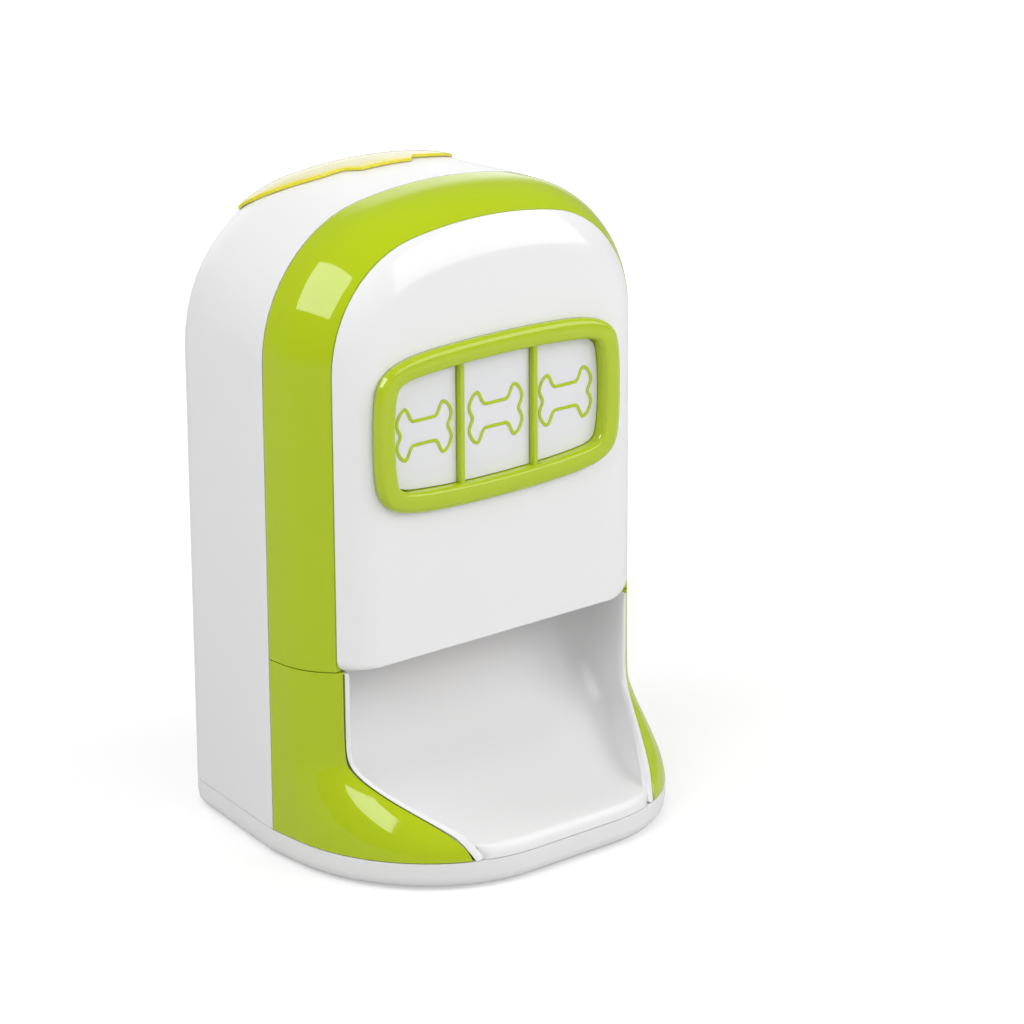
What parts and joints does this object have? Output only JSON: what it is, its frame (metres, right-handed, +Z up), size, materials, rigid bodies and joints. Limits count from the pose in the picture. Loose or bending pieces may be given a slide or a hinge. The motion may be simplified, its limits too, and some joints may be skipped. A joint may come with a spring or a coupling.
{
  "type": "pet treat dispenser",
  "caption": "Free-standing pet treat dispenser: arched casing, framed push keys, hinged refill lid on the dome and a curved open tray at the foot.",
  "frame": {"origin": "on the table, at the middle of the outline seen from above", "axes": "+Z up, front and tray towards -Y, +X to the right of someone facing the front"},
  "size_m": [0.194, 0.18, 0.2978],
  "materials": {
    "white_shell": "gloss white moulded plastic",
    "lime_shell": "gloss lime moulded plastic",
    "yellow_lid": "translucent yellow moulded plastic",
    "key_plate": "gloss pale grey moulded plastic",
    "foot_rubber": "matt",
    "steel": "plated",
    "motor_steel": "plated can",
    "works_plastic": "plain moulded plastic",
    "rotor_plastic": "plain moulded plastic",
    "gear_plastic": "acetal",
    "bush_brass": "turned",
    "board": "printed board",
    "dark_plastic": "plain moulded plastic",
    "cell_jacket": "printed jacket"
  },
  "bodies": {
    "casing": {"base_pan": "white_shell", "rubber_feet": "foot_rubber", "base_screws": "steel", "rear_shell": "white_shell", "green_arch": "lime_shell", "left_cheek": "lime_shell", "right_cheek": "lime_shell", "front_panel": "white_shell", "window_frame": "lime_shell", "treat_chute": "white_shell", "lid_hinge_pin": "steel", "key_board": "board", "key_switches": "dark_plastic", "key_board_screws": "steel", "hopper": "works_plastic", "left_side_plate": "works_plastic", "right_side_plate": "works_plastic", "rotor_trough": "works_plastic", "rotor_guard": "works_plastic", "left_bush": "bush_brass", "right_bush": "bush_brass", "gear_motor": "motor_steel", "motor_standoffs": "steel", "motor_screws": "steel", "control_board": "board", "board_screws": "steel", "battery_box": "works_plastic", "battery_cells": "cell_jacket", "battery_contacts": "steel", "battery_door": "white_shell", "door_screw": "steel", "power_switch_body": "dark_plastic"},
    "lid": {"hopper_lid": "yellow_lid"},
    "left_key_body": {"left_key": "key_plate", "left_bone": "lime_shell"},
    "middle_key_body": {"middle_key": "key_plate", "middle_bone": "lime_shell"},
    "right_key_body": {"right_key": "key_plate", "right_bone": "lime_shell"},
    "rotor_body": {"rotor": "rotor_plastic", "rotor_shaft": "steel", "rotor_gear": "gear_plastic"},
    "pinion_body": {"motor_pinion": "gear_plastic", "motor_shaft": "steel"},
    "power_knob_body": {"power_switch_knob": "dark_plastic"}
  },
  "joints": [
    {"name": "lid_hinge", "type": "hinge", "parent": "casing", "child": "lid", "pos_m": [0, 0.08615, 0.26422], "axis": [-1, 0, 0], "range_deg": [0, 100]},
    {"name": "left_key_press", "type": "slide", "parent": "casing", "child": "left_key_body", "axis": [0, 1, 0], "range_m": [0, 0.0025], "stiffness_N_per_m": 300},
    {"name": "middle_key_press", "type": "slide", "parent": "casing", "child": "middle_key_body", "axis": [0, 1, 0], "range_m": [0, 0.0025], "stiffness_N_per_m": 300},
    {"name": "right_key_press", "type": "slide", "parent": "casing", "child": "right_key_body", "axis": [0, 1, 0], "range_m": [0, 0.0025], "stiffness_N_per_m": 300},
    {"name": "rotor_spin", "type": "hinge", "parent": "casing", "child": "rotor_body", "pos_m": [0, 0.009, 0.132], "axis": [1, 0, 0], "continuous": true},
    {"name": "pinion_spin", "type": "hinge", "parent": "casing", "child": "pinion_body", "pos_m": [0, 0.037, 0.132], "axis": [1, 0, 0], "continuous": true},
    {"name": "power_slide", "type": "slide", "parent": "casing", "child": "power_knob_body", "axis": [1, 0, 0], "range_m": [0, 0.005]}
  ],
  "couplings": [
    {"joint": "pinion_spin", "follows": "rotor_spin", "ratio": -3}
  ]
}
